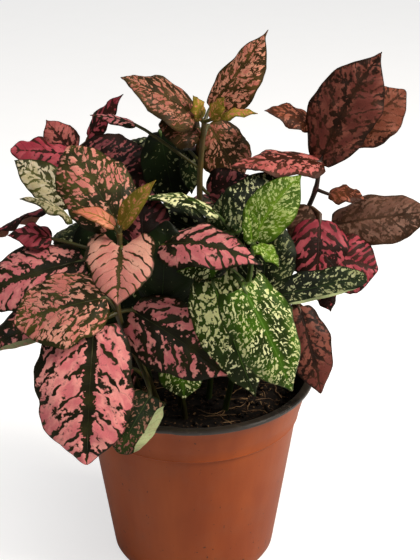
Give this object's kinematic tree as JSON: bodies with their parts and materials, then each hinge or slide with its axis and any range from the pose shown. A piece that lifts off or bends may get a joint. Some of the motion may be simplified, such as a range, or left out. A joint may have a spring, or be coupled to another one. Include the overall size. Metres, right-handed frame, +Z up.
{
  "type": "potted polka dot plant",
  "caption": "Bushy Hypoestes in a terracotta-coloured nursery pot, with mottled pink, green-white and crimson leaves on upright stems",
  "frame": {"origin": "centre of the underside of the pot", "axes": "+Z up, -Y towards the front where the large pink leaf hangs over the rim, +X to the right seen from the front"},
  "size_m": [0.2143, 0.1646, 0.2672],
  "materials": {
    "pot_plastic": "satin",
    "potting_mix": "matt, loose",
    "pink_foliage": "satin leaf",
    "cream_foliage": "satin leaf",
    "green_foliage": "satin leaf",
    "crimson_foliage": "satin leaf"
  },
  "bodies": {
    "root": {"pot": "pot_plastic", "potting_mix": "potting_mix", "shoot_pink_front": "pink_foliage", "shoot_pink_left": "pink_foliage", "shoot_cream_left": "cream_foliage", "shoot_crimson_left": "crimson_foliage", "shoot_top_pink": "pink_foliage", "shoot_green_back": "green_foliage", "shoot_crimson_top": "crimson_foliage", "shoot_crimson_right": "crimson_foliage", "shoot_green_front": "green_foliage", "shoot_green_mid": "green_foliage", "shoot_pink_centre": "pink_foliage", "shoot_green_low": "green_foliage", "shoot_pink_back": "pink_foliage", "shoot_cream_back": "cream_foliage"}
  },
  "joints": []
}
